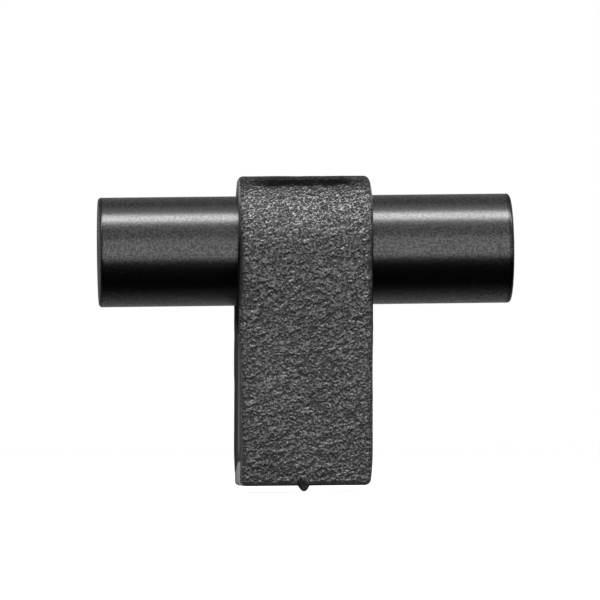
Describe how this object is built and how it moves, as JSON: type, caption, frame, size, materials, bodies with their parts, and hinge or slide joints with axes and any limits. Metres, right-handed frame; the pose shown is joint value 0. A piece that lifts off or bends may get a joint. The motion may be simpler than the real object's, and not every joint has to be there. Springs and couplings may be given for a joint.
{
  "type": "cabinet knob",
  "caption": "T-shaped cabinet knob: a round black bar held across a square post by a grained leather strap folded over the bar.",
  "frame": {"origin": "centre of the base, at the mouth of the fixing screw's hole, in the plane that meets the cabinet front", "axes": "+Z along the post, away from the cabinet front; +X along the bar; the picture looks along +Y, nearly level"},
  "size_m": [0.049, 0.0176, 0.0376],
  "materials": {
    "satin_black": "satin black coating, smooth, on a turned bar",
    "black_leather": "pebble-grained, semi-matt, with dark cut edges",
    "black_casting": "satin black coating on a cast post, thin and lighter at the foot of one side",
    "plated_steel": "zinc-plated, hidden inside"
  },
  "bodies": {
    "root": {"bar": "satin_black", "leather_strap": "black_leather", "post": "black_casting", "joining_stud": "plated_steel"}
  },
  "joints": []
}
